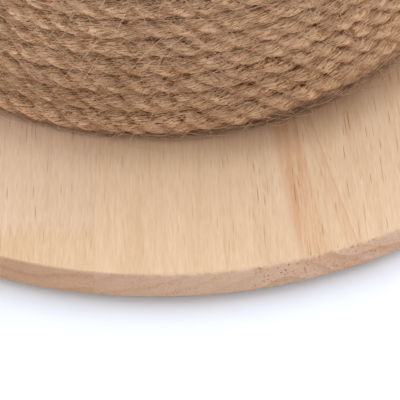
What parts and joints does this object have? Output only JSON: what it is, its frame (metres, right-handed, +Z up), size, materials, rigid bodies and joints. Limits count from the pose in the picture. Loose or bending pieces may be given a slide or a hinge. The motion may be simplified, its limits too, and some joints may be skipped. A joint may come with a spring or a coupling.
{
  "type": "scratching post",
  "caption": "Fat upright cat scratching post wound with jute rope round a card tube, bolted to a round wooden foot board and closed by a round wooden top.",
  "frame": {"origin": "on the floor under the middle of the post, at the underside of the foot board's pads", "axes": "+Z up along the post, -Y towards the front where the rope's rows step up, +X to the right seen from the front"},
  "size_m": [0.3999, 0.4, 0.5],
  "materials": {
    "foot_wood": "sanded rubberwood panel, finger-jointed staves, unvarnished",
    "top_wood": "sanded rubberwood panel, finger-jointed staves, unvarnished",
    "jute": "three-strand natural jute rope, fuzzy",
    "card": "spirally wound brown card",
    "plug_board": "raw fibreboard",
    "felt": "pressed felt",
    "zinc_steel": "zinc-plated steel"
  },
  "bodies": {
    "root": {"floor_pads": "felt", "base_board": "foot_wood", "base_bolts": "zinc_steel", "base_washers": "zinc_steel", "tee_nuts": "zinc_steel", "lower_plug": "plug_board", "core_tube": "card", "lower_plug_screws": "zinc_steel", "upper_plug": "plug_board", "upper_plug_screws": "zinc_steel", "top_board": "top_wood", "top_board_screws": "zinc_steel", "jute_rope_lower": "jute", "jute_rope_upper": "jute", "rope_end_staples": "zinc_steel"}
  },
  "joints": []
}
